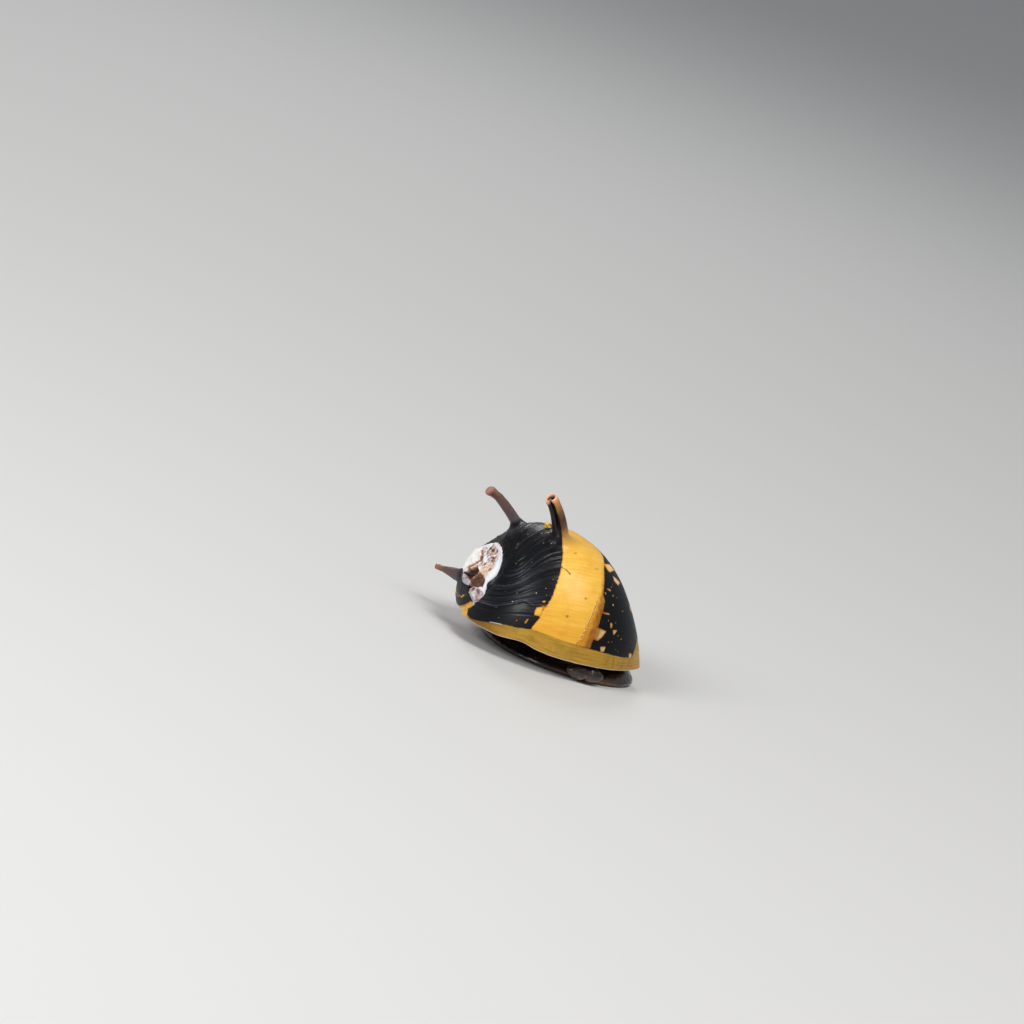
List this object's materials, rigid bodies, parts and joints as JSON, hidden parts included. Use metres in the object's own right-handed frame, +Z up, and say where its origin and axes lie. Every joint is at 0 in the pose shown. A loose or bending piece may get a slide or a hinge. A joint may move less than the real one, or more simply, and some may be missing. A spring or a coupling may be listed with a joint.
{
  "type": "horned nerite snail",
  "caption": "Crawling horned nerite snail: low domed coiled shell with curved horns along its shoulder, worn apex, amber margin and band, dark foot, head and operculum.",
  "frame": {"origin": "on the floor under the middle of the foot's sole, at the mount sole", "axes": "+Z up; the snail heads towards -Y; the shell's apex points to -X, the animal's right"},
  "size_m": [0.0136, 0.0143, 0.0117],
  "materials": {
    "shell_black": "glossy black-brown shell with fine growth ridges, a wide golden band and small yellow flecks",
    "shell_amber": "smooth olive-amber shell margin with a thin pale edge",
    "worn_white": "worn, chalky white and brown layers of shell at the eroded apex",
    "horn_brown": "smooth purple-brown horns with paler orange-tan tips",
    "skin_dark": "moist, very dark brown skin, amber where it is thin",
    "eye_black": "small shiny black eyes",
    "lid_horn": "smooth brown limy lid with a faint spiral"
  },
  "bodies": {
    "root": {"shell_body_whorl": "shell_black", "shell_lip": "shell_amber", "shell_apex": "worn_white", "horn_front": "horn_brown", "horn_middle": "horn_brown", "horn_rear": "horn_brown", "foot_front": "skin_dark", "foot_middle": "skin_dark", "foot_tail": "skin_dark", "mantle": "skin_dark", "head": "skin_dark", "snout": "skin_dark", "tentacle_left": "skin_dark", "tentacle_right": "skin_dark", "eyestalk_left": "skin_dark", "eyestalk_right": "skin_dark", "eye_left": "eye_black", "eye_right": "eye_black", "operculum": "lid_horn"}
  },
  "joints": []
}
